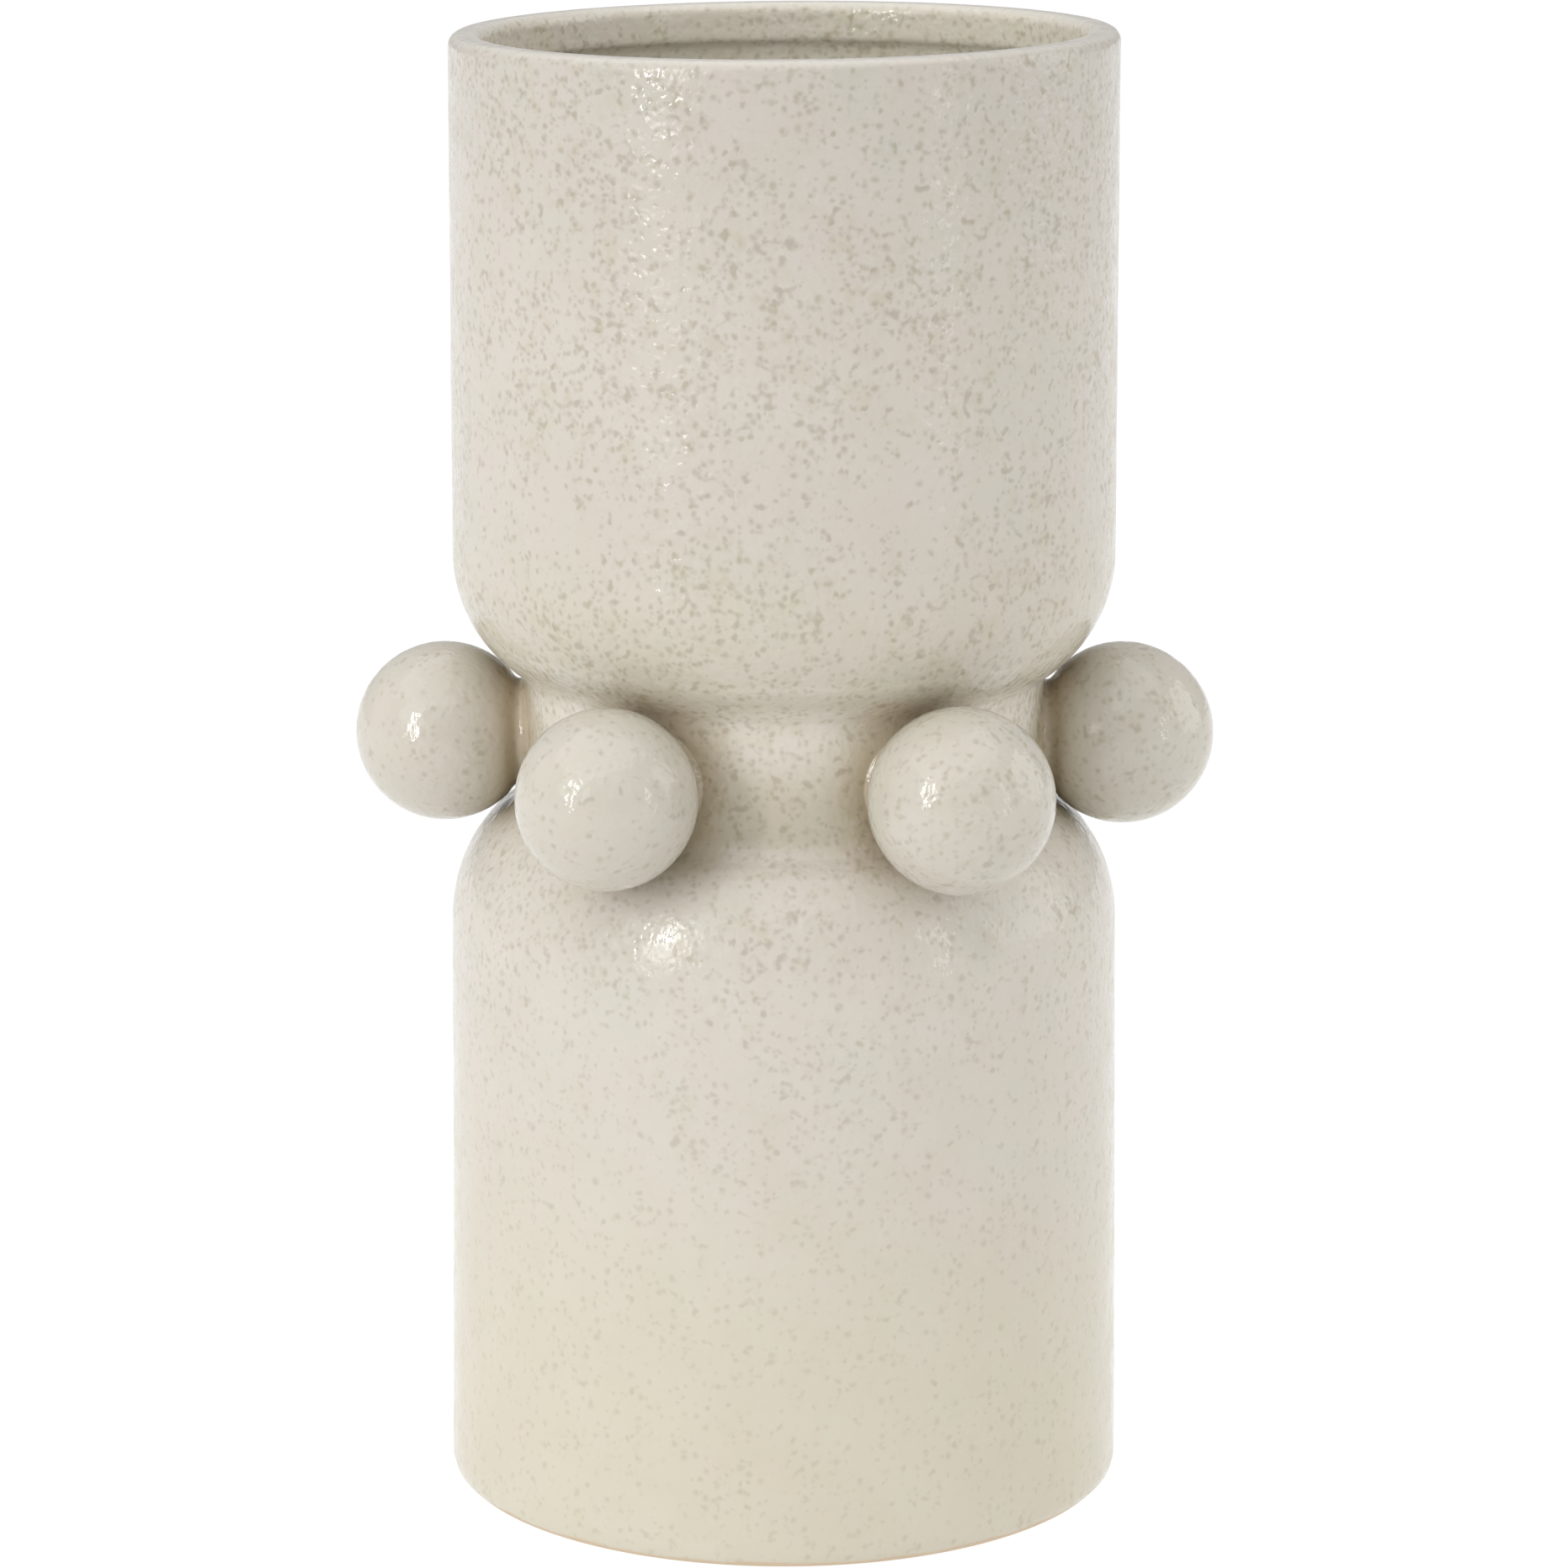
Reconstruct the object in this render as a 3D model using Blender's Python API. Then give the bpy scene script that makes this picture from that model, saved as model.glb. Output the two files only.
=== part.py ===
"""Stoneware vase: a straight-sided cup stands on a straight-sided lower body, joined by a narrow
neck ring. Six solid balls sit in shallow sockets round the neck. Every joint is luted with slip,
which the small gaps between the pieces stand for. +Z is up and the origin is under the foot."""

import math

import bmesh
import bpy
from mathutils import Matrix, Vector

# Overall form, all in metres. The height is that of the rim's highest point.
HEIGHT = 0.3010
WALL = 0.0055
GAP = 0.0003
TURNS = 60

# Lower body: almost a cylinder, a little wider at the foot.
FOOT_RADIUS = 0.0695
FOOT_CORNER = 0.0028
BODY_RADIUS = 0.0683
SHOULDER_Z = 0.1177
SHOULDER_ACROSS = 0.0243
SHOULDER_UP = 0.0283
FLOOR_THICKNESS = 0.0065
FLOOR_CORNER = 0.008
FOOT_RING_WIDTH = 0.0070
FOOT_RECESS = 0.0022
RECESS_SLOPE = 0.0015

# Neck ring, with a thin spigot at each end that enters its neighbour.
NECK_RADIUS = 0.05325
NECK_BORE = NECK_RADIUS - WALL
SPIGOT_RADIUS = 0.0502
SPIGOT_LENGTH = 0.0044

# Cup: a straight wall over a rounded underside, with a bead inside the lip.
CUP_RADIUS = 0.0674
CUP_Z = 0.1945
UNDERSIDE_ACROSS = 0.02775
UNDERSIDE_DOWN = 0.0285
RIM_RADIUS = 0.0672
LIP_OUTER_ROUND = 0.0024
LIP_INNER_ROUND = 0.0021
BEAD_THICKNESS = 0.0066
BEAD_DEPTH = 0.0087
BEAD_UNDERCUT = 0.0012
CUP_WALL = 0.0051

# Balls, and the flat-bottomed socket that each one sits in.
BALL_COUNT = 6
BALL_RING = 0.0694
BALL_Z = 0.15635
BALL_RADIUS = 0.0184
BALL_SEAT = 0.0523
BALL_SEGMENTS = 24
BALL_RINGS = 14
# Each ball was rolled and placed by hand: its radius and height differ a little, by name.
BALL_NAMES = (
    "ball_right",
    "ball_back_right",
    "ball_back_left",
    "ball_left",
    "ball_front_left",
    "ball_front_right",
)
BALL_EXTRA_RADIUS = {"ball_right": 0.0003, "ball_front_left": -0.0003, "ball_front_right": 0.0002}
BALL_RISE = {
    "ball_left": 0.0002,
    "ball_right": -0.0002,
    "ball_front_left": -0.0003,
    "ball_front_right": -0.0006,
}

# Colours in linear light. The same glaze is creamier low down and whiter where it lies thick.
CREAM_GLAZE = (0.69, 0.64, 0.54)
GREIGE_GLAZE = (0.66, 0.62, 0.54)
WHITE_GLAZE = (0.72, 0.68, 0.61)
GLAZE_ROUGHNESS = 0.35


def ellipse_arc(centre, across, up, start, end, steps):
    """Points of an ellipse round centre, from one angle to another, in degrees above +X."""
    points = []
    for step in range(steps + 1):
        angle = math.radians(start + (end - start) * step / steps)
        points.append((centre[0] + across * math.cos(angle), centre[1] + up * math.sin(angle)))
    return points


def angle_at(radius, centre_radius, across):
    """The angle in degrees at which an ellipse of that half width reaches a radius."""
    return math.degrees(math.acos((radius - centre_radius) / across))


def height_on(angle, up):
    """How far above its centre an ellipse of that half height is at an angle in degrees."""
    return up * math.sin(math.radians(angle))


# Where the shoulder and the cup's underside meet the neck.
SHOULDER_CENTRE = (BODY_RADIUS - SHOULDER_ACROSS, SHOULDER_Z)
SHOULDER_END = angle_at(NECK_RADIUS, SHOULDER_CENTRE[0], SHOULDER_ACROSS)
NECK_BASE_Z = SHOULDER_Z + height_on(SHOULDER_END, SHOULDER_UP)
UNDERSIDE_CENTRE = (CUP_RADIUS - UNDERSIDE_ACROSS, CUP_Z)
UNDERSIDE_END = angle_at(NECK_RADIUS, UNDERSIDE_CENTRE[0], UNDERSIDE_ACROSS)
NECK_TOP_Z = CUP_Z - height_on(UNDERSIDE_END, UNDERSIDE_DOWN)
SPIGOT_HOLE = SPIGOT_RADIUS + GAP


def glaze(name, colour):
    """The speckled glaze of one piece, in one plain colour."""
    material = bpy.data.materials.new(name + "_glaze")
    material.use_nodes = True
    shader = material.node_tree.nodes["Principled BSDF"]
    shader.inputs["Base Color"].default_value = (*colour, 1.0)
    shader.inputs["Roughness"].default_value = GLAZE_ROUGHNESS
    shader.inputs["Metallic"].default_value = 0.0
    return material


def add_object(name, mesh, colour):
    """Links a named, glazed object for a mesh and shades it smooth up to 40 degrees."""
    mesh.materials.append(glaze(name, colour))
    mesh.shade_smooth()
    mesh.set_sharp_from_angle(angle=math.radians(40))
    thing = bpy.data.objects.new(name, mesh)
    bpy.context.scene.collection.objects.link(thing)
    return thing


def turned(name, outline, colour, closed):
    """A piece turned about +Z. The outline runs up its inner side and down its outer side."""
    mesh = bpy.data.meshes.new(name)
    shape = bmesh.new()
    corners = [shape.verts.new((radius, 0.0, z)) for radius, z in outline]
    for here, following in zip(corners, corners[1:]):
        shape.edges.new((here, following))
    if closed:
        shape.edges.new((corners[-1], corners[0]))
    shape.to_mesh(mesh)
    shape.free()
    piece = add_object(name, mesh, colour)
    lathe = piece.modifiers.new("turn", "SCREW")
    lathe.angle = math.tau
    lathe.steps = TURNS
    lathe.render_steps = TURNS
    lathe.use_merge_vertices = True
    lathe.merge_threshold = 0.00001
    return piece


def lower_body():
    """The lower cylinder with its floor, foot ring and shoulder. Its mouth takes the neck's spigot."""
    inner_across = SHOULDER_ACROSS - WALL
    inner_up = SHOULDER_UP - WALL
    inner_end = angle_at(SPIGOT_HOLE, SHOULDER_CENTRE[0], inner_across)
    floor_corner = (FOOT_RADIUS - WALL - FLOOR_CORNER, FLOOR_THICKNESS + FLOOR_CORNER)
    ring_inner = FOOT_RADIUS - FOOT_CORNER - FOOT_RING_WIDTH
    outline = [(0.0, FLOOR_THICKNESS)]
    outline += ellipse_arc(floor_corner, FLOOR_CORNER, FLOOR_CORNER, -90, 0, 4)
    outline += ellipse_arc(SHOULDER_CENTRE, inner_across, inner_up, 0, inner_end, 6)
    outline += [(SPIGOT_HOLE, NECK_BASE_Z)]
    outline += ellipse_arc(SHOULDER_CENTRE, SHOULDER_ACROSS, SHOULDER_UP, SHOULDER_END, 0, 8)
    outline += ellipse_arc(
        (FOOT_RADIUS - FOOT_CORNER, FOOT_CORNER), FOOT_CORNER, FOOT_CORNER, 0, -90, 4
    )
    outline += [(ring_inner, 0.0), (ring_inner - RECESS_SLOPE, FOOT_RECESS), (0.0, FOOT_RECESS)]
    return turned("lower_body", outline, CREAM_GLAZE, closed=False)


def ball_places():
    """(name, angle, radius, height) of each ball, counter-clockwise from +X."""
    for number, name in enumerate(BALL_NAMES):
        radius = BALL_RADIUS + BALL_EXTRA_RADIUS.get(name, 0.0)
        height = BALL_Z + BALL_RISE.get(name, 0.0)
        yield name, math.tau * number / BALL_COUNT, radius, height


def socket_cutters():
    """Six short cylinders, as one guide object, that sink the ball sockets into the neck."""
    socket_floor = BALL_SEAT - GAP
    depth = BALL_RING - socket_floor
    shape = bmesh.new()
    for _, angle, radius, height in ball_places():
        socket_radius = math.sqrt(radius**2 - (BALL_RING - NECK_RADIUS) ** 2) + 2 * GAP
        middle = Matrix.Rotation(angle, 4, "Z") @ Matrix.Translation(
            (socket_floor + depth / 2, 0.0, height)
        )
        bmesh.ops.create_cone(
            shape,
            cap_ends=True,
            segments=BALL_SEGMENTS,
            radius1=socket_radius,
            radius2=socket_radius,
            depth=depth,
            matrix=middle @ Matrix.Rotation(math.radians(90), 4, "Y"),
        )
    mesh = bpy.data.meshes.new("socket_cutters")
    shape.to_mesh(mesh)
    shape.free()
    cutters = bpy.data.objects.new("socket_cutters", mesh)
    bpy.context.scene.collection.objects.link(cutters)
    cutters.hide_render = True
    cutters.display_type = "WIRE"
    return cutters


def neck_ring():
    """The waist: a short tube with a spigot at each end and six ball sockets."""
    foot = NECK_BASE_Z + GAP
    top = NECK_TOP_Z - GAP
    outline = [
        (NECK_BORE, foot - SPIGOT_LENGTH),
        (NECK_BORE, top + SPIGOT_LENGTH),
        (SPIGOT_RADIUS, top + SPIGOT_LENGTH),
        (SPIGOT_RADIUS, top),
        (NECK_RADIUS, top),
        (NECK_RADIUS, foot),
        (SPIGOT_RADIUS, foot),
        (SPIGOT_RADIUS, foot - SPIGOT_LENGTH),
    ]
    ring = turned("neck_ring", outline, GREIGE_GLAZE, closed=True)
    sockets = ring.modifiers.new("sockets", "BOOLEAN")
    sockets.operation = "DIFFERENCE"
    sockets.object = socket_cutters()
    return ring


def upper_cup():
    """The cup: a rounded underside that sits on the neck, a straight wall and a beaded lip."""
    inner_across = UNDERSIDE_ACROSS - WALL
    inner_down = UNDERSIDE_DOWN - WALL
    inner_end = angle_at(SPIGOT_HOLE, UNDERSIDE_CENTRE[0], inner_across)
    bead_radius = RIM_RADIUS - BEAD_THICKNESS
    wall_radius = RIM_RADIUS - CUP_WALL
    bead_foot = HEIGHT - BEAD_DEPTH
    inner_lip = (bead_radius + LIP_INNER_ROUND, HEIGHT - LIP_INNER_ROUND)
    outer_lip = (RIM_RADIUS - LIP_OUTER_ROUND, HEIGHT - LIP_OUTER_ROUND)
    outline = ellipse_arc(UNDERSIDE_CENTRE, inner_across, inner_down, -inner_end, 0, 6)
    outline += [(wall_radius, bead_foot - BEAD_UNDERCUT), (bead_radius, bead_foot)]
    outline += ellipse_arc(inner_lip, LIP_INNER_ROUND, LIP_INNER_ROUND, 180, 90, 3)
    outline += ellipse_arc(outer_lip, LIP_OUTER_ROUND, LIP_OUTER_ROUND, 90, 0, 5)
    outline += ellipse_arc(
        UNDERSIDE_CENTRE, UNDERSIDE_ACROSS, UNDERSIDE_DOWN, 0, -UNDERSIDE_END, 8
    )
    outline += [(SPIGOT_HOLE, NECK_TOP_Z)]
    return turned("upper_cup", outline, GREIGE_GLAZE, closed=True)


def ball(name, angle, radius, height):
    """A solid clay ball with a flat seat facing the axis, in its place on the ring."""
    shape = bmesh.new()
    bmesh.ops.create_uvsphere(
        shape, u_segments=BALL_SEGMENTS, v_segments=BALL_RINGS, radius=radius
    )
    cut = bmesh.ops.bisect_plane(
        shape,
        geom=shape.verts[:] + shape.edges[:] + shape.faces[:],
        dist=0.00001,
        plane_co=Vector((BALL_SEAT - BALL_RING, 0.0, 0.0)),
        plane_no=Vector((-1.0, 0.0, 0.0)),
        clear_outer=True,
    )
    rim = [part for part in cut["geom_cut"] if isinstance(part, bmesh.types.BMEdge)]
    bmesh.ops.edgeloop_fill(shape, edges=rim)
    bmesh.ops.recalc_face_normals(shape, faces=shape.faces[:])
    mesh = bpy.data.meshes.new(name)
    shape.to_mesh(mesh)
    shape.free()
    piece = add_object(name, mesh, WHITE_GLAZE)
    piece.rotation_euler = (0.0, 0.0, angle)
    piece.location = (BALL_RING * math.cos(angle), BALL_RING * math.sin(angle), height)
    return piece


def build():
    """Clears the scene and makes the nine pieces."""
    for old in list(bpy.data.objects):
        bpy.data.objects.remove(old)
    lower_body()
    neck_ring()
    upper_cup()
    for name, angle, radius, height in ball_places():
        ball(name, angle, radius, height)


build()
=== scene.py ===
"""Looks of the stoneware vase: its nine pieces in speckled off-white glaze, with a bare clay foot, on a
pale floor in soft studio light. All lengths are in metres, +Z is up, and the vase's axis is the world's."""

import math

import bmesh
import bpy
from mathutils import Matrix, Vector, noise


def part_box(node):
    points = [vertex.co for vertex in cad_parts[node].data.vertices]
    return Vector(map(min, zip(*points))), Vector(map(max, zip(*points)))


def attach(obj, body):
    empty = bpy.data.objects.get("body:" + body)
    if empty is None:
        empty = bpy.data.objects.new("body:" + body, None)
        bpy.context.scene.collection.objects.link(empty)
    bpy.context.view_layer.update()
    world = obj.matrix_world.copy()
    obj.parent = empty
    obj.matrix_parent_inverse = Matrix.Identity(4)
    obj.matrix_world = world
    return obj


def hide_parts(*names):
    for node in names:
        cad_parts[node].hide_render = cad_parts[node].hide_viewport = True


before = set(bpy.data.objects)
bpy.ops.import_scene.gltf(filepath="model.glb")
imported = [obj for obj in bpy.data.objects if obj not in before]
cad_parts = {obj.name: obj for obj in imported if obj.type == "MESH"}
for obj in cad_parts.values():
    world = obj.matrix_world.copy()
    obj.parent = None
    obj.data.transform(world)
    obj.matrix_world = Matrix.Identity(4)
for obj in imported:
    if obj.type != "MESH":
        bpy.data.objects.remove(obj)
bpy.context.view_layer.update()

MM = 0.001

# Sizes that the solids fix.
foot_box, neck_box, cup_box = (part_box(node) for node in ("lower_body", "neck_ring", "upper_cup"))
FOOT_RADIUS = foot_box[1].x
SHOULDER_TOP = foot_box[1].z
NECK_RADIUS = neck_box[1].y
CUP_BOTTOM = cup_box[0].z
HEIGHT = cup_box[1].z

# The lower body's section, as the potter's template has it.
BODY_RADIUS = 68.3 * MM
SHOULDER_Z = 117.7 * MM
SHOULDER_ACROSS = 24.3 * MM
SHOULDER_UP = 28.3 * MM
FOOT_CORNER = 2.8 * MM
FOOT_RING_WIDTH = 7.0 * MM
FOOT_RING_SLOPE = 1.5 * MM
FOOT_RECESS = 2.2 * MM
FLOOR_THICKNESS = 6.5 * MM
FLOOR_CORNER = 8.0 * MM
WALL = 5.5 * MM

# The neck, with the soft rounds of glaze where it runs into its neighbours.
SHOULDER_ROUND = 8.5 * MM
CUP_ROUND = 4.5 * MM
SPIGOT_RADIUS = 50.2 * MM
SPIGOT_LENGTH = 4.4 * MM
SPIGOT_EDGE = 1.5 * MM

# The cup's section.
RIM_RADIUS = 67.2 * MM
CUP_RADIUS = 67.4 * MM
CUP_Z = 194.5 * MM
UNDERSIDE_ACROSS = 27.75 * MM
UNDERSIDE_DOWN = 28.5 * MM
CUP_WALL = 5.1 * MM
LIP_OUTER_ROUND = 2.4 * MM
LIP_INNER_ROUND = 2.1 * MM
BEAD_THICKNESS = 6.6 * MM
BEAD_DEPTH = 8.7 * MM
BEAD_UNDERCUT = 1.2 * MM
BEAD_ROUND = 1.6 * MM

# The rim runs a little uphill to the front and to the right.
RIM_RISE_FRONT = 0.89 * MM
RIM_RISE_RIGHT = 0.53 * MM

# The ring that the balls' middles lie on, give or take a fraction of a millimetre in height, and how deep
# a ball's back sits in the neck.
BALL_RING = 69.4 * MM
BALL_Z = 156.35 * MM
JOINT_DEPTH = 0.3 * MM
BALL_NAMES = (
    "ball_right",
    "ball_back_right",
    "ball_back_left",
    "ball_left",
    "ball_front_left",
    "ball_front_right",
)

# A ball's collar, as shares of the ball's radius: its width and its flare at the joint, then how far
# towards the neck each of them starts, and over what distance it comes in.
COLLAR_WIDTH = 0.60
COLLAR_FLARE = 0.12
COLLAR_STARTS = 0.68
COLLAR_BLEND = 0.20
FLARE_STARTS = 0.84
FLARE_BLEND = 0.10

# Where the ball's back starts to be pressed onto the neck, and over what distance, in the same shares.
PRESS_STARTS = 0.84
PRESS_BLEND = 0.08

# The very back of a ball is widened as if its own width, squared, were this.
LEAST_WIDTH_SQUARED = 0.19

# The wobble that hands leave, as (waves per metre, height): on the turned walls, and dents on the balls.
WALL_WAVES = ((15, 0.14 * MM), (60, 0.05 * MM))
BALL_DENTS = ((60, 0.07 * MM), (200, 0.02 * MM))

# How finely the pieces are meshed.
TURNS = 180
BALL_SUBDIVISIONS = 6
FINE = 1.4 * MM
COARSE = 2.5 * MM
MERGE = 0.001 * MM
SHARP_ANGLE = math.radians(50)


# ---- Shapes -------------------------------------------------------------------------------------


class Outline:
    """The section of a turned piece: points as (radius, height), laid at an even spacing."""

    def __init__(self, radius, height):
        self.points = [(radius, height)]

    def add(self, radius, height):
        last = self.points[-1]
        if math.hypot(radius - last[0], height - last[1]) > MERGE:
            self.points.append((radius, height))

    def line(self, radius, height, spacing):
        """A straight run to a point."""
        from_radius, from_height = self.points[-1]
        length = math.hypot(radius - from_radius, height - from_height)
        count = max(1, round(length / spacing))
        for step in range(1, count + 1):
            share = step / count
            self.add(
                from_radius + (radius - from_radius) * share,
                from_height + (height - from_height) * share,
            )

    def arc(self, centre, across, up, start, end, spacing):
        """A straight run to an elliptical arc, then the arc. Angles are in degrees above +X."""
        first = math.radians(start)
        self.line(centre[0] + across * math.cos(first), centre[1] + up * math.sin(first), spacing)
        sweep = math.radians(end - start)
        count = max(3, round(abs(sweep) * max(across, up) / spacing))
        for step in range(1, count + 1):
            angle = first + sweep * step / count
            self.add(centre[0] + across * math.cos(angle), centre[1] + up * math.sin(angle))


def angle_at(radius, centre_radius, across):
    """The angle in degrees at which an ellipse of that half width reaches a radius."""
    return math.degrees(math.acos((radius - centre_radius) / across))


def soft_round(centre_radius, across, up, size):
    """The round of that size that touches both an ellipse and the straight neck. Returns the ellipse's
    angle where they touch, the tilt of the touching line, both in degrees, and the round's centre as
    (radius, height above the ellipse's centre)."""
    low, high = 0.0, 90.0
    for _ in range(40):
        angle = math.radians((low + high) / 2)
        outward = Vector((math.cos(angle) / across, math.sin(angle) / up)).normalized()
        reach = centre_radius + across * math.cos(angle) + size * outward.x
        if reach > NECK_RADIUS + size:
            low = math.degrees(angle)
        else:
            high = math.degrees(angle)
    tilt = math.degrees(math.atan2(outward.y, outward.x))
    return math.degrees(angle), tilt, (NECK_RADIUS + size, up * math.sin(angle) + size * outward.y)


def smoothstep(share):
    share = min(1.0, max(0.0, share))
    return share * share * (3 - 2 * share)


def by_hand(shape):
    """Gives a turned shape the wobble of the potter's hand, and its rim the slight slope."""
    shift = Vector((3.7, -3.7, 7.4))
    highest = math.hypot(RIM_RISE_FRONT, RIM_RISE_RIGHT)
    for vert in shape.verts:
        place = vert.co.copy()
        radius = math.hypot(place.x, place.y)
        if radius < MERGE:
            continue
        outward = Vector((place.x, place.y, 0.0)) / radius
        swell = sum(height * noise.noise(place * waves + shift) for waves, height in WALL_WAVES)
        share = smoothstep((place.z - CUP_Z) / (HEIGHT - CUP_Z))
        slope = (RIM_RISE_RIGHT * place.x - RIM_RISE_FRONT * place.y) / RIM_RADIUS - highest
        vert.co += outward * swell * smoothstep(place.z / FOOT_CORNER)
        vert.co.z += share * slope


def turned(outline, closed):
    """A piece turned about +Z from its outline."""
    shape = bmesh.new()
    corners = [shape.verts.new((radius, 0.0, height)) for radius, height in outline.points]
    sides = [shape.edges.new(pair) for pair in zip(corners, corners[1:])]
    if closed:
        sides.append(shape.edges.new((corners[-1], corners[0])))
    bmesh.ops.spin(
        shape,
        geom=corners + sides,
        cent=(0.0, 0.0, 0.0),
        axis=(0.0, 0.0, 1.0),
        angle=math.tau,
        steps=TURNS,
        use_merge=True,
    )
    bmesh.ops.remove_doubles(shape, verts=shape.verts[:], dist=MERGE)
    bmesh.ops.recalc_face_normals(shape, faces=shape.faces[:])
    by_hand(shape)
    return shape


def show(shape, name, node, material):
    """Makes a finished piece of a shape. It stands for its solid and takes the glaze."""
    mesh = bpy.data.meshes.new(name)
    shape.to_mesh(mesh)
    shape.free()
    mesh.shade_smooth()
    mesh.set_sharp_from_angle(angle=SHARP_ANGLE)
    mesh.materials.append(material)
    piece = bpy.data.objects.new(name, mesh)
    bpy.context.scene.collection.objects.link(piece)
    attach(piece, "root")
    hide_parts(node)


shoulder_angle, shoulder_tilt, shoulder_round_at = soft_round(
    BODY_RADIUS - SHOULDER_ACROSS, SHOULDER_ACROSS, SHOULDER_UP, SHOULDER_ROUND
)
underside_angle, underside_tilt, underside_round_at = soft_round(
    CUP_RADIUS - UNDERSIDE_ACROSS, UNDERSIDE_ACROSS, UNDERSIDE_DOWN, CUP_ROUND
)
LOWER_SEAM = SHOULDER_Z + shoulder_round_at[1]
UPPER_SEAM = CUP_Z - underside_round_at[1]


def lower_body_section():
    """The lower cylinder: up its inner side, over the seam with the neck, and down its outer side."""
    middle = (BODY_RADIUS - SHOULDER_ACROSS, SHOULDER_Z)
    inner_across = SHOULDER_ACROSS - WALL
    inner_up = SHOULDER_UP - WALL
    corner = (FOOT_RADIUS - WALL - FLOOR_CORNER, FLOOR_THICKNESS + FLOOR_CORNER)
    mouth_angle = angle_at(SPIGOT_RADIUS, middle[0], inner_across)
    ring_inner = FOOT_RADIUS - FOOT_CORNER - FOOT_RING_WIDTH
    section = Outline(0.0, FLOOR_THICKNESS)
    section.arc(corner, FLOOR_CORNER, FLOOR_CORNER, -90, 0, COARSE)
    section.arc(middle, inner_across, inner_up, 0, mouth_angle, COARSE)
    section.line(SPIGOT_RADIUS, LOWER_SEAM, COARSE)
    section.line(NECK_RADIUS, LOWER_SEAM, COARSE)
    section.arc(
        (shoulder_round_at[0], LOWER_SEAM), SHOULDER_ROUND, SHOULDER_ROUND, 180, 180 + shoulder_tilt, FINE
    )
    section.arc(middle, SHOULDER_ACROSS, SHOULDER_UP, shoulder_angle, 0, FINE)
    section.arc((FOOT_RADIUS - FOOT_CORNER, FOOT_CORNER), FOOT_CORNER, FOOT_CORNER, 0, -90, FINE)
    section.line(ring_inner, 0.0, COARSE)
    section.line(ring_inner - FOOT_RING_SLOPE, FOOT_RECESS, FINE)
    section.line(0.0, FOOT_RECESS, 3 * COARSE)
    return section


def neck_section():
    """The waist: a short tube whose spigots enter both neighbours."""
    bore = NECK_RADIUS - WALL
    foot = SHOULDER_TOP - SPIGOT_LENGTH
    top = CUP_BOTTOM + SPIGOT_LENGTH
    section = Outline(bore, foot)
    section.arc((bore + SPIGOT_EDGE, top - SPIGOT_EDGE), SPIGOT_EDGE, SPIGOT_EDGE, 180, 90, FINE)
    section.line(SPIGOT_RADIUS, top, FINE)
    section.line(SPIGOT_RADIUS, UPPER_SEAM, COARSE)
    section.line(NECK_RADIUS, UPPER_SEAM, COARSE)
    section.line(NECK_RADIUS, LOWER_SEAM, FINE)
    section.line(SPIGOT_RADIUS, LOWER_SEAM, COARSE)
    section.line(SPIGOT_RADIUS, foot, COARSE)
    return section


def cup_section():
    """The cup: up its inner side, over the beaded lip, down its outer side and round the underside."""
    middle = (CUP_RADIUS - UNDERSIDE_ACROSS, CUP_Z)
    inner_across = UNDERSIDE_ACROSS - WALL
    inner_down = UNDERSIDE_DOWN - WALL
    hole_angle = angle_at(SPIGOT_RADIUS, middle[0], inner_across)
    bead_radius = RIM_RADIUS - BEAD_THICKNESS
    bead_foot = HEIGHT - BEAD_DEPTH
    bead_middle = (bead_radius + BEAD_ROUND, bead_foot + BEAD_ROUND)
    inner_lip = (bead_radius + LIP_INNER_ROUND, HEIGHT - LIP_INNER_ROUND)
    outer_lip = (RIM_RADIUS - LIP_OUTER_ROUND, HEIGHT - LIP_OUTER_ROUND)
    section = Outline(SPIGOT_RADIUS, UPPER_SEAM)
    section.arc(middle, inner_across, inner_down, -hole_angle, 0, COARSE)
    section.line(RIM_RADIUS - CUP_WALL, bead_foot - BEAD_UNDERCUT, COARSE)
    section.arc(bead_middle, BEAD_ROUND, BEAD_ROUND, 240, 180, FINE / 2)
    section.arc(inner_lip, LIP_INNER_ROUND, LIP_INNER_ROUND, 180, 90, FINE / 2)
    section.arc(outer_lip, LIP_OUTER_ROUND, LIP_OUTER_ROUND, 90, 0, FINE / 2)
    section.arc(middle, UNDERSIDE_ACROSS, UNDERSIDE_DOWN, 0, -underside_angle, FINE)
    section.arc(
        (underside_round_at[0], UPPER_SEAM), CUP_ROUND, CUP_ROUND, 180 - underside_tilt, 180, FINE
    )
    return section


def collar_spread(share):
    """How much wider than a true ball a piece is, at that share of its radius towards the neck, where it
    thickens into a short collar that flares a little at the joint."""
    round_width = math.sqrt(max(LEAST_WIDTH_SQUARED, 1 - share * share))
    collar = COLLAR_WIDTH + COLLAR_FLARE * smoothstep((share - FLARE_STARTS) / FLARE_BLEND)
    return 1 + smoothstep((share - COLLAR_STARTS) / COLLAR_BLEND) * (collar / round_width - 1)


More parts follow.
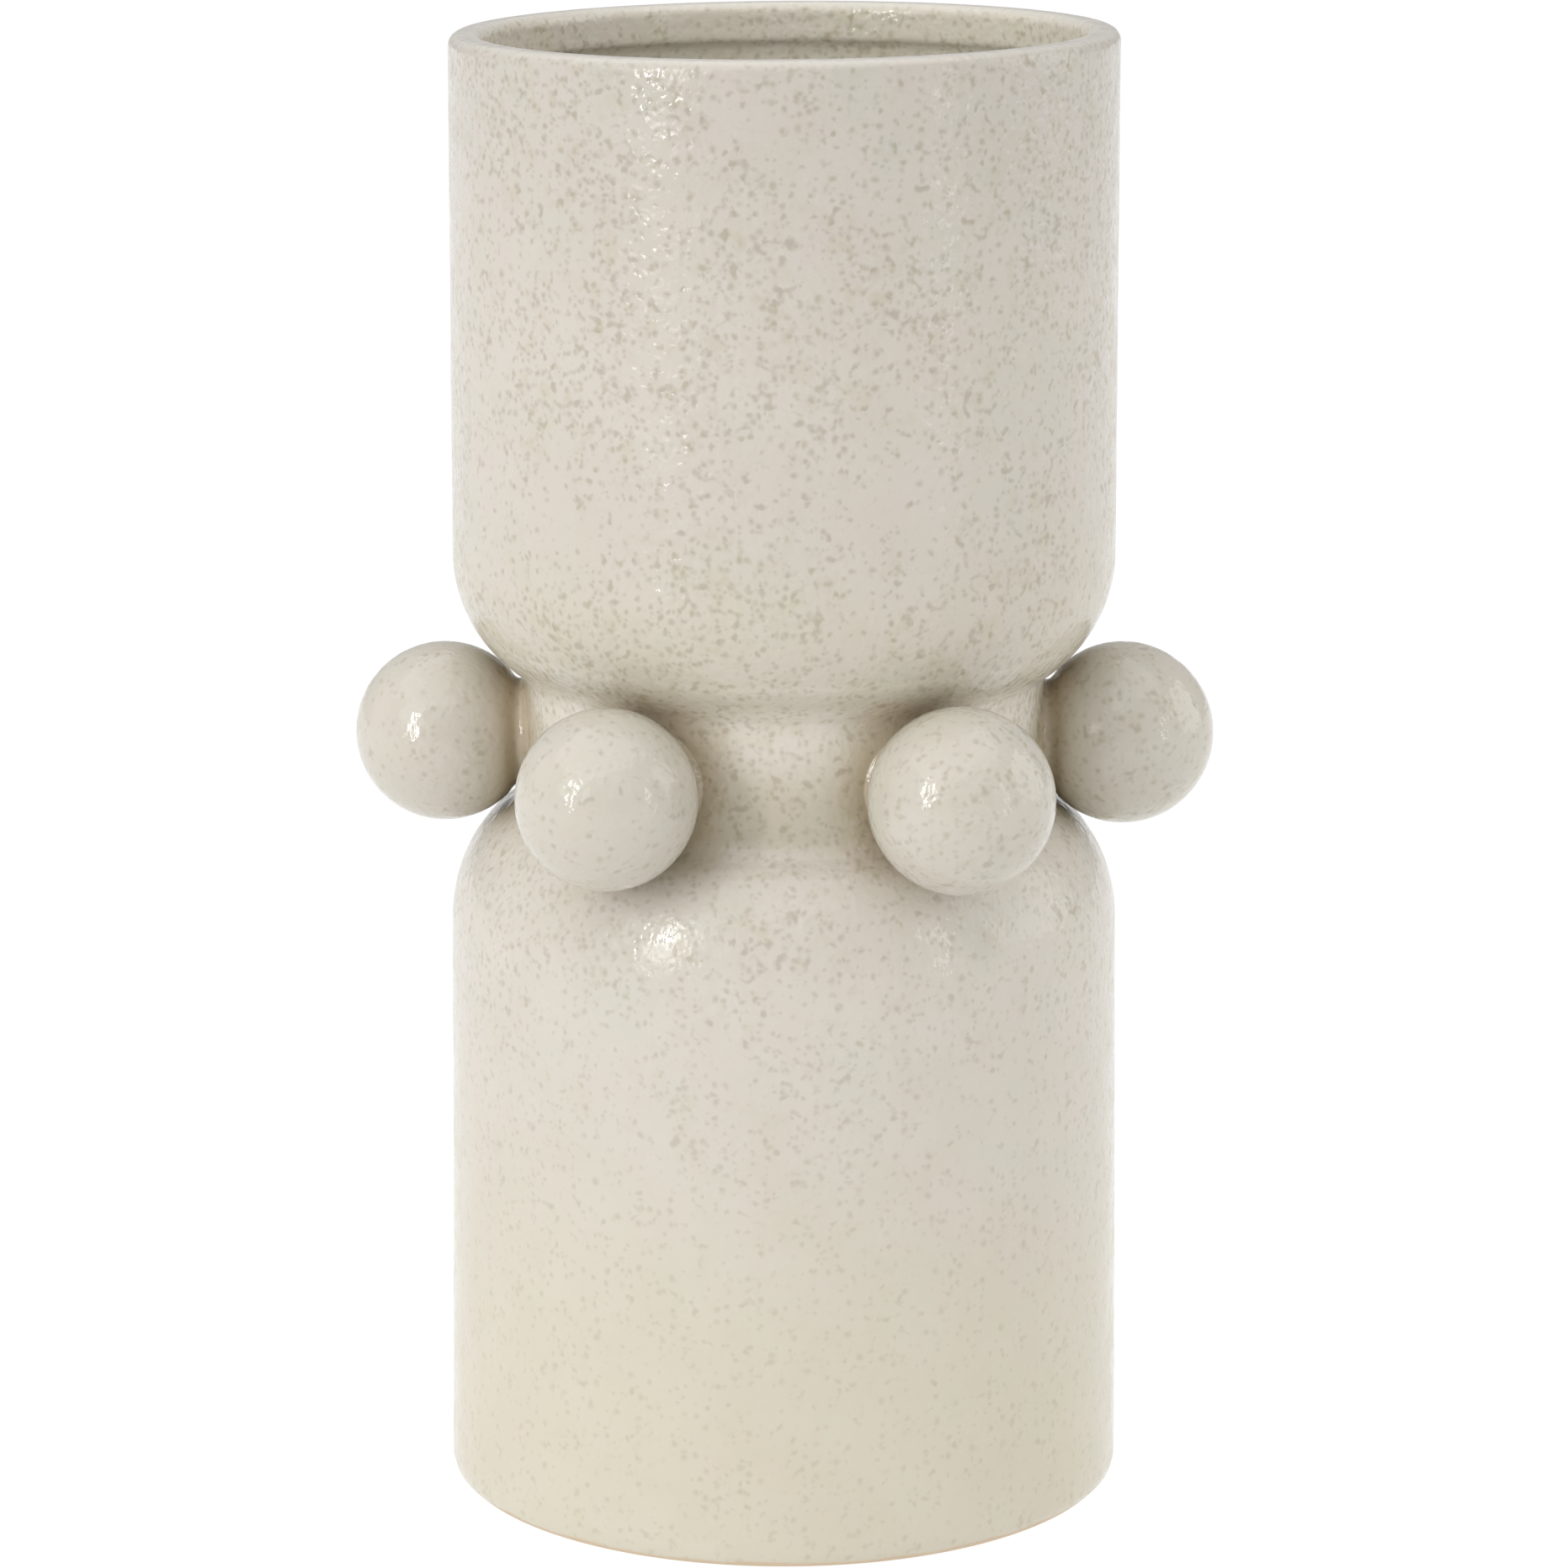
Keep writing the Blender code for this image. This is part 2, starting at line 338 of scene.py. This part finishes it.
def ball(number, node):
    """A hand-rolled clay ball, pressed onto the neck so that its back takes the neck's curve."""
    low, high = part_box(node)
    radius = (high.z - low.z) / 2
    angle = math.tau * number / len(BALL_NAMES)
    outward = Vector((math.cos(angle), math.sin(angle), 0.0))
    middle = outward * BALL_RING + Vector((0.0, 0.0, (low.z + high.z) / 2))
    shape = bmesh.new()
    bmesh.ops.create_icosphere(shape, subdivisions=BALL_SUBDIVISIONS, radius=radius)
    shift = Vector((11.3 * number, 0.0, 5.1))
    for vert in shape.verts:
        dent = sum(height * (1 + noise.noise(vert.co * waves + shift)) for waves, height in BALL_DENTS)
        vert.co -= vert.co.normalized() * dent
        depth = -vert.co.dot(outward)
        share = depth / radius
        vert.co = (vert.co + outward * depth) * collar_spread(share) - outward * depth + middle
        onto_neck = (NECK_RADIUS - JOINT_DEPTH) / math.hypot(vert.co.x, vert.co.y)
        pressed = 1 + smoothstep((share - PRESS_STARTS) / PRESS_BLEND) * (onto_neck - 1)
        vert.co.x *= pressed
        vert.co.y *= pressed
    bmesh.ops.recalc_face_normals(shape, faces=shape.faces[:])
    return shape


# ---- Glaze --------------------------------------------------------------------------------------


class Wire:
    """A shader socket that takes part in sums: each sum adds the Math node it needs."""

    def __init__(self, recipe, socket):
        self.recipe = recipe
        self.socket = socket

    def sum(self, operation, *others):
        terms = dict(enumerate((self, *others)))
        return self.recipe.add("ShaderNodeMath", {"operation": operation}, terms)["Value"]

    def __add__(self, other):
        return self.sum("ADD", other)

    __radd__ = __add__

    def __sub__(self, other):
        return self.sum("SUBTRACT", other)

    def __rsub__(self, other):
        return self.sum("MULTIPLY", -1.0) + other

    def __mul__(self, other):
        return self.sum("MULTIPLY", other)

    __rmul__ = __mul__

    def __truediv__(self, other):
        return self.sum("DIVIDE", other)

    def largest(self, other):
        return self.sum("MAXIMUM", other)

    def rise(self, low, high):
        """0 below low, 1 above high, and a soft step between them. It falls if low is over high."""
        step = {"interpolation_type": "SMOOTHSTEP", "clamp": True}
        values = {"Value": self, "From Min": low, "From Max": high}
        return self.recipe.add("ShaderNodeMapRange", step, values)["Result"]


class Made:
    """A node that a recipe holds, read by the names of its outputs."""

    def __init__(self, recipe, node):
        self.recipe = recipe
        self.node = node

    def __getitem__(self, output):
        return Wire(self.recipe, self.node.outputs[output])


class Recipe:
    """A material's nodes, from plain values and wires."""

    def __init__(self, name):
        self.material = bpy.data.materials.new(name)
        self.material.use_nodes = True
        self.tree = self.material.node_tree
        self.tree.nodes.clear()

    def add(self, kind, settings=None, values=None):
        """One node: its settings first, then the values or wires of its inputs."""
        node = self.tree.nodes.new(kind)
        for key, value in (settings or {}).items():
            setattr(node, key, value)
        for key, value in (values or {}).items():
            if isinstance(value, Wire):
                self.tree.links.new(value.socket, node.inputs[key])
            else:
                node.inputs[key].default_value = value
        return Made(self, node)

    def blend(self, share, under, over, how="MIX"):
        """One colour laid over another by a share. The node has several sockets of each name, one for
        each kind of value, so they are picked by number."""
        settings = {"data_type": "RGBA", "blend_type": how}
        made = self.add("ShaderNodeMix", settings, {0: share, 6: under, 7: over})
        return Wire(self, made.node.outputs[2])

    def vector(self, operation, first, second):
        made = self.add("ShaderNodeVectorMath", {"operation": operation}, {0: first, 1: second})
        return made["Vector"]

    def clouds(self, place, size, detail=2.0, roughness=0.5, seed=0.0):
        """Cloudy noise about 0.5, with clouds of about that size in millimetres."""
        settings = {"noise_dimensions": "4D"}
        values = {
            "Vector": place,
            "W": seed,
            "Scale": 1 / size,
            "Detail": detail,
            "Roughness": roughness,
        }
        return self.add("ShaderNodeTexNoise", settings, values)

    def dots(self, place, spacing):
        """Scattered points about that far apart, in millimetres: how far off the nearest one is, and its
        own random numbers."""
        made = self.add("ShaderNodeTexVoronoi", None, {"Vector": place, "Scale": 1 / spacing})
        pick = self.add("ShaderNodeSeparateColor", None, {0: made["Color"]})
        return made["Distance"] * spacing, pick


def rgb(red, green, blue):
    return (red, green, blue, 1.0)


# The colour of the glaze on each zone of the vase, with painted light on some of them.
RIM_GLAZE = rgb(0.527, 0.492, 0.441)
CUP_GLAZE = rgb(0.572, 0.533, 0.474)
# Inside the cup: a yellower tint, made paler than the outer glaze as painted light on the inner wall.
INSIDE_TINT_AND_PAINTED_LIGHT = rgb(0.680, 0.645, 0.560)
# Paler colour on the upper waist under the cup: painted light.
PAINTED_WAIST_LIGHT = rgb(0.705, 0.665, 0.590)
WAIST_GLAZE = rgb(0.572, 0.536, 0.455)
BALL_GLAZE = rgb(0.572, 0.540, 0.472)
SHOULDER_GLAZE = rgb(0.605, 0.569, 0.505)
FOOT_GLAZE = rgb(0.619, 0.576, 0.467)
# Paler at the lip: the glaze breaking thin there, and partly a painted highlight along the rounded lip.
THIN_GLAZE_AND_HIGHLIGHT = rgb(0.608, 0.575, 0.522)

# Casts that darken or tint it: drifts of warmth, iron specks and olive blots; then painted shade: warm
# brown shade at the joints, grey shade beside the balls and shade on the lower waist.
PINK_CAST = rgb(1.0, 0.965, 0.960)
GREEN_CAST = rgb(0.965, 0.985, 0.950)
IRON_CAST = rgb(0.70, 0.68, 0.61)
OLIVE_CAST = rgb(0.88, 0.86, 0.74)
PAINTED_WARM_SHADE = rgb(0.93, 0.87, 0.76)
JOINT_SHADE = rgb(0.82, 0.80, 0.77)
# Painted shade on the lower part of the waist.
PAINTED_NECK_SHADE = rgb(0.89, 0.87, 0.83)

# The bare stoneware of the foot, and its darker grit.
BARE_CLAY = rgb(0.62, 0.49, 0.34)
CLAY_GRIT = rgb(0.48, 0.37, 0.25)

# Sizes in the glaze, in millimetres, as everything inside its recipe is.
BIG_SPECKS_APART = 2.2
SMALL_SPECKS_APART = 1.6
SPECK_PULL = 1.2
PEEL_SIZE = 1.9
LIP_FADE = 1.1
LIP_STARTS = (HEIGHT - math.hypot(RIM_RISE_FRONT, RIM_RISE_RIGHT)) / MM - 1.4

# The relief of the glaze, and how rough it is where it is glossiest, where it is dull, and off it.
RELIEF_DEPTH = 0.25 * MM
GLOSS_ROUGHNESS = 0.11
DULL_ROUGHNESS = 0.15
CLAY_ROUGHNESS = 0.45
GLAZE_IOR = 1.48


def off_ball(axes, radius):
    """How far the nearest ball's middle is, in millimetres. The sixfold ring is folded onto one ball."""
    sector = math.tau / len(BALL_NAMES)
    turn = axes["Y"].sum("ARCTAN2", axes["X"])
    turn = turn - (turn / sector).sum("ROUND") * sector
    out = radius * turn.sum("COSINE") - BALL_RING / MM
    aside = radius * turn.sum("SINE")
    up = axes["Z"] - BALL_Z / MM
    return (out * out + aside * aside + up * up).sum("SQRT")


def speckled_glaze():
    """Off-white gloss glaze that iron specks in the clay have bled through. The specks gather in drifts,
    are thickest on the cup and thin out towards the foot. The glaze breaks thin and pale at the lip, under
    a painted highlight there, and is wiped off the foot. Painted light brightens the upper waist and the
    inside of the cup, and painted shade darkens the lower waist and falls brown and grey where the balls
    meet the neck."""
    mix = Recipe("speckled_glaze")
    place = mix.vector("MULTIPLY", mix.add("ShaderNodeTexCoord")["Object"], (1 / MM, 1 / MM, 1 / MM))
    axes = mix.add("ShaderNodeSeparateXYZ", None, {0: place})
    height = axes["Z"]
    radius = (axes["X"] * axes["X"] + axes["Y"] * axes["Y"]).sum("SQRT")
    away = off_ball(axes, radius)
    on_ball = away.rise(21, 19.3)
    # Where the painted warm shade falls, in the crevices round each ball's joint.
    joint = away.rise(30, 18) * radius.rise(66, 54)

    # Where the specks gather.
    drift = mix.clouds(place, 34, detail=3.0, roughness=0.6, seed=1.0)["Fac"]
    patch = mix.clouds(place, 9, detail=1.0, seed=4.0)["Fac"]
    thick_up_high = height.rise(20, 190)
    crowd = (drift * 0.6 + patch * 0.4).rise(0.32, 0.62) * (0.35 + 0.65 * thick_up_high)
    crowd = crowd * (1 - on_ball * (axes["X"].rise(50, -10) * 0.55 + 0.20))
    uphill = (axes["X"] * RIM_RISE_RIGHT - axes["Y"] * RIM_RISE_FRONT) / RIM_RADIUS
    lip = (height - uphill).rise(LIP_STARTS, LIP_STARTS + LIP_FADE)

    # Round specks of two sizes, pulled out of true.
    pull = mix.clouds(place, 2.2, detail=0.0, seed=2.0)["Color"]
    pulled = mix.vector("ADD", place, mix.vector("MULTIPLY", pull, (SPECK_PULL, SPECK_PULL, SPECK_PULL)))
    big_off, big_pick = mix.dots(pulled, BIG_SPECKS_APART)
    small_off, small_pick = mix.dots(pulled, SMALL_SPECKS_APART)
    big_speck = (big_off / (0.70 + 0.30 * big_pick["Green"])).rise(1.25, 0.0)
    big_speck = big_speck * (crowd * 0.75 + 0.22 - 0.04 * on_ball - big_pick["Red"]).rise(0.0, 0.12)
    small_speck = (small_off / 0.58).rise(1.25, 0.0)
    small_speck = small_speck * (crowd * 0.55 + 0.12 - small_pick["Red"]).rise(0.0, 0.12)

    # Where they have run together: short worms, and soft blots with an olive cast.
    grain = mix.clouds(place, 1.7, detail=0.5, seed=3.0)["Fac"]
    worms = (grain + crowd * 0.10).rise(0.63, 0.84)
    blots = mix.clouds(place, 4.6, detail=2.0, roughness=0.6, seed=10.0)["Fac"].rise(0.50, 0.70) * crowd
    strength = (0.44 + 0.32 * thick_up_high) * (1 - 0.85 * lip) * (1 - 0.12 * on_ball)
    speck = big_speck.largest(small_speck * 0.8).largest(worms)

    # The ground colour.
    tone = mix.clouds(place, 14, detail=2.0, seed=6.0)["Fac"]
    warmth = mix.clouds(place, 11, detail=2.0, seed=7.0)["Fac"]
    ground = mix.blend(height.rise(300, 235), RIM_GLAZE, CUP_GLAZE)
    ground = mix.blend(height.rise(215, 185), ground, WAIST_GLAZE)
    ground = mix.blend(height.rise(149, 141), ground, SHOULDER_GLAZE)
    ground = mix.blend(height.rise(110, 15), ground, FOOT_GLAZE)
    ground = mix.blend(on_ball, ground, BALL_GLAZE)
    # Painted light: the upper waist under the cup is made paler.
    ground = mix.blend(height.rise(149, 166) * radius.rise(60, 56), ground, PAINTED_WAIST_LIGHT)
    # Inside the cup: a yellower tint, and painted light that brightens the inner wall.
    ground = mix.blend(radius.rise(63.5, 62.3) * height.rise(176, 182), ground, INSIDE_TINT_AND_PAINTED_LIGHT)
    ground = mix.blend(tone.rise(0.3, 0.7) * 0.7, ground, PINK_CAST, "MULTIPLY")
    ground = mix.blend(warmth.rise(0.35, 0.7) * 0.7, ground, GREEN_CAST, "MULTIPLY")
    # Paler at the lip, where the glaze breaks thin, and partly a painted highlight along the rounded lip.
    ground = mix.blend(lip * 0.7, ground, THIN_GLAZE_AND_HIGHLIGHT)
    glazed = mix.blend(blots * 0.6 * strength, ground, OLIVE_CAST, "MULTIPLY")
    glazed = mix.blend(speck * strength, glazed, IRON_CAST, "MULTIPLY")
    # Painted shade: the lower part of the waist, above the shoulder, is darkened.
    lower_neck_shade = height.rise(168, 152) * height.rise(141, 147) * radius.rise(60, 56)
    glazed = mix.blend(lower_neck_shade, glazed, PAINTED_NECK_SHADE, "MULTIPLY")
    # Painted shade, warm brown, in the crevices where the balls meet the neck and the cup.
    glazed = mix.blend(joint, glazed, PAINTED_WARM_SHADE, "MULTIPLY")
    # Painted shade, grey, on the neck close beside each ball.
    glazed = mix.blend(away.rise(31, 18) * radius.rise(61, 56), glazed, JOINT_SHADE, "MULTIPLY")

    # The wiped foot.
    ragged = mix.clouds(place, 9, detail=2.0, seed=8.0)["Fac"]
    bare = (height - ragged * 1.6).rise(0.9, 0.3)
    grit = mix.clouds(place, 0.9, detail=2.0, seed=9.0)["Fac"]
    clay = mix.blend(grit * 0.4, BARE_CLAY, CLAY_GRIT)
    colour = mix.blend(bare, glazed, clay)

    # Relief: the run of the glaze, its orange peel, which is stronger where the specks gather, and the
    # shallow pit of each speck.
    run = mix.clouds(place, 7, detail=2.0, seed=12.0)["Fac"]
    peel = mix.clouds(place, PEEL_SIZE, detail=1.5, seed=13.0)["Fac"]
    lively = 0.30 + 1.10 * (0.40 * thick_up_high + 0.60 * crowd).largest(0.6 * on_ball)
    relief = run * 0.5 + peel * lively - speck * 0.12
    bump = mix.add(
        "ShaderNodeBump", None, {"Strength": 1.0, "Distance": RELIEF_DEPTH, "Height": relief}
    )["Normal"]

    # The balls are glossier than the walls.
    dull = mix.clouds(place, 5, detail=2.0, seed=14.0)["Fac"].rise(0.40, 0.62) * (1 - 0.8 * on_ball)
    shader = mix.add(
        "ShaderNodeBsdfPrincipled",
        None,
        {
            "Base Color": colour,
            "Roughness": GLOSS_ROUGHNESS + DULL_ROUGHNESS * dull + CLAY_ROUGHNESS * bare,
            "IOR": GLAZE_IOR,
            "Normal": bump,
        },
    )
    mix.add("ShaderNodeOutputMaterial", None, {"Surface": shader["BSDF"]})
    return mix.material


# ---- Studio -------------------------------------------------------------------------------------


WHITE = rgb(1.0, 1.0, 1.0)
FLOOR_RADIUS = 8.0
FLOOR_GLOW = 0.93
SKY_GLOW = 0.49
LIT_POINT = (0.0, 0.0, 0.16)
LENS_LENGTH = 137.98
SENSOR_WIDTH = 36.0
FARTHEST_SEEN = 30.0
EYE = (0.0, -1.2029, 0.4259)
LOOKS_DOWN = 0.22928


def pale_floor():
    """A wide pale floor that glows evenly, as a seamless white sweep does."""
    shape = bmesh.new()
    bmesh.ops.create_circle(shape, cap_ends=True, segments=96, radius=FLOOR_RADIUS)
    mesh = bpy.data.meshes.new("floor")
    shape.to_mesh(mesh)
    shape.free()
    floor = bpy.data.objects.new("floor", mesh)
    bpy.context.scene.collection.objects.link(floor)
    paint = Recipe("pale_floor")
    shader = paint.add(
        "ShaderNodeBsdfPrincipled",
        None,
        {
            "Base Color": rgb(0.12, 0.12, 0.12),
            "Roughness": 0.9,
            "Specular IOR Level": 0.1,
            "Emission Color": WHITE,
            "Emission Strength": FLOOR_GLOW,
        },
    )
    paint.add("ShaderNodeOutputMaterial", None, {"Surface": shader["BSDF"]})
    mesh.materials.append(paint.material)


def softbox(name, place, width, height, watts):
    """A rectangular soft light that faces the vase."""
    lamp = bpy.data.lights.new(name, "AREA")
    lamp.shape = "RECTANGLE"
    lamp.size = width
    lamp.size_y = height
    lamp.energy = watts
    light = bpy.data.objects.new(name, lamp)
    light.location = place
    light.rotation_euler = (Vector(LIT_POINT) - Vector(place)).to_track_quat("-Z", "Y").to_euler()
    bpy.context.scene.collection.objects.link(light)


def studio():
    """White surroundings and six lamps: two narrow ones that draw the glints, the stronger at the left, and
    four broad ones at the sides, overhead and in front."""
    world = bpy.data.worlds.new("studio")
    world.use_nodes = True
    background = world.node_tree.nodes["Background"]
    background.inputs["Color"].default_value = WHITE
    background.inputs["Strength"].default_value = SKY_GLOW
    bpy.context.scene.world = world
    softbox("key_light", (-1.18, -1.29, 0.65), width=0.15, height=0.9, watts=7.5)
    softbox("edge_light", (1.43, -1.03, 0.5), width=0.08, height=0.9, watts=1.3)
    softbox("left_light", (-2.2, 0.3, 0.9), width=1.6, height=1.6, watts=2.5)
    softbox("right_light", (2.2, 0.3, 0.9), width=1.6, height=1.6, watts=12.5)
    softbox("top_light", (-0.2, -0.2, 1.75), width=2.6, height=2.6, watts=21.5)
    softbox("front_light", (-1.5, -1.5, 1.3), width=1.4, height=1.4, watts=8.0)


def camera():
    """A long lens, a little above the vase and looking slightly down."""
    lens = bpy.data.cameras.new("camera")
    lens.lens = LENS_LENGTH
    lens.sensor_width = SENSOR_WIDTH
    lens.clip_end = FARTHEST_SEEN
    eye = bpy.data.objects.new("camera", lens)
    eye.location = EYE
    eye.rotation_euler = (math.radians(90.0) - LOOKS_DOWN, 0.0, 0.0)
    bpy.context.scene.collection.objects.link(eye)
    bpy.context.scene.camera = eye


# ---- The vase -----------------------------------------------------------------------------------


def vase():
    """The nine pieces: three turned ones, and six balls round the neck."""
    glaze = speckled_glaze()
    show(turned(lower_body_section(), closed=False), "glazed_lower_body", "lower_body", glaze)
    show(turned(neck_section(), closed=True), "glazed_neck_ring", "neck_ring", glaze)
    show(turned(cup_section(), closed=True), "glazed_upper_cup", "upper_cup", glaze)
    for number, node in enumerate(BALL_NAMES):
        show(ball(number, node), "glazed_" + node, node, glaze)


vase()
pale_floor()
studio()
camera()
bpy.context.scene.view_settings.view_transform = "Standard"
